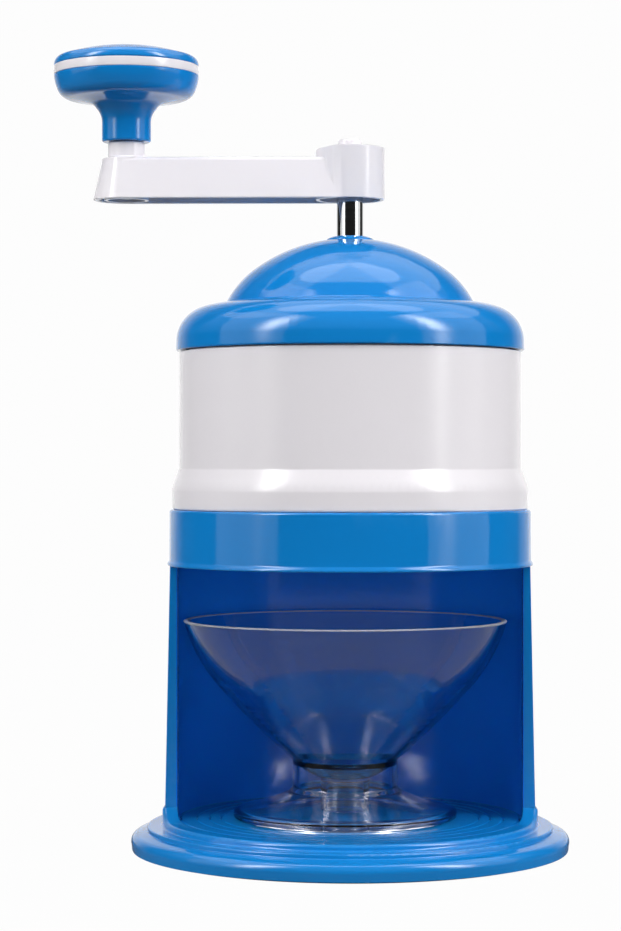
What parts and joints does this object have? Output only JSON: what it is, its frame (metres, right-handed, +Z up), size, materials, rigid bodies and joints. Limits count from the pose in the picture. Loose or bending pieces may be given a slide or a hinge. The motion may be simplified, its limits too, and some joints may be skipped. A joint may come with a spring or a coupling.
{
  "type": "hand-cranked ice shaver",
  "caption": "Kitchen ice shaver: a crank turns a spiked presser in a round barrel over a bladed floor, and the shavings fall into a clear footed bowl in the open-fronted stand.",
  "frame": {"origin": "on the crank's axis, in the plane of the rubber ring's underside, which is the surface it stands on", "axes": "+Z up along the crank's axis, -Y out of the bay's open front, the arm points to -X at rest"},
  "size_m": [0.1594, 0.1352, 0.2487],
  "materials": {
    "blue_plastic": "polished injection moulding",
    "white_plastic": "polished injection moulding",
    "clear_plastic": "clear and polished",
    "disc_plastic": "fine matt moulding",
    "bearing_plastic": "turned acetal",
    "shaft_chrome": "polished",
    "blade_steel": "ground",
    "fastener_steel": "zinc plated",
    "spring_steel": "drawn wire",
    "foot_rubber": "matt"
  },
  "bodies": {
    "stand": {"base": "blue_plastic", "non_slip_ring": "foot_rubber", "housing": "blue_plastic", "ice_barrel": "white_plastic", "blade_disc": "disc_plastic", "blade": "blade_steel", "blade_screws": "fastener_steel", "disc_screws": "fastener_steel"},
    "bowl": {"bowl": "clear_plastic"},
    "lid": {"lid": "blue_plastic", "shaft_bush": "bearing_plastic", "feed_spring": "spring_steel"},
    "spring_seat": {"spring_washer": "fastener_steel"},
    "crank": {"shaft": "shaft_chrome", "presser": "disc_plastic", "presser_washer": "fastener_steel", "presser_nut": "fastener_steel", "crank_arm": "white_plastic", "hub_screw": "fastener_steel", "hub_plug": "white_plastic", "knob_bolt": "fastener_steel", "knob_nut": "fastener_steel"},
    "knob": {"knob_grip": "blue_plastic", "knob_band": "white_plastic", "knob_cap": "blue_plastic"}
  },
  "joints": [
    {"name": "bowl_out", "type": "slide", "parent": "stand", "child": "bowl", "axis": [0, -1, 0], "range_m": [0, 0.12]},
    {"name": "lid_lift", "type": "slide", "parent": "stand", "child": "lid", "axis": [0, 0, 1], "range_m": [0, 0.11]},
    {"name": "press_feed", "type": "slide", "parent": "lid", "child": "spring_seat", "axis": [0, 0, 1], "range_m": [0, 0.045], "stiffness_N_per_m": 150, "springref_m": -0.03, "deforming": ["feed_spring"]},
    {"name": "crank_spin", "type": "hinge", "parent": "spring_seat", "child": "crank", "pos_m": [0, 0, 0.15], "axis": [0, 0, 1], "continuous": true},
    {"name": "knob_spin", "type": "hinge", "parent": "crank", "child": "knob", "pos_m": [-0.0693, 0, 0.225], "axis": [0, 0, 1], "continuous": true}
  ]
}
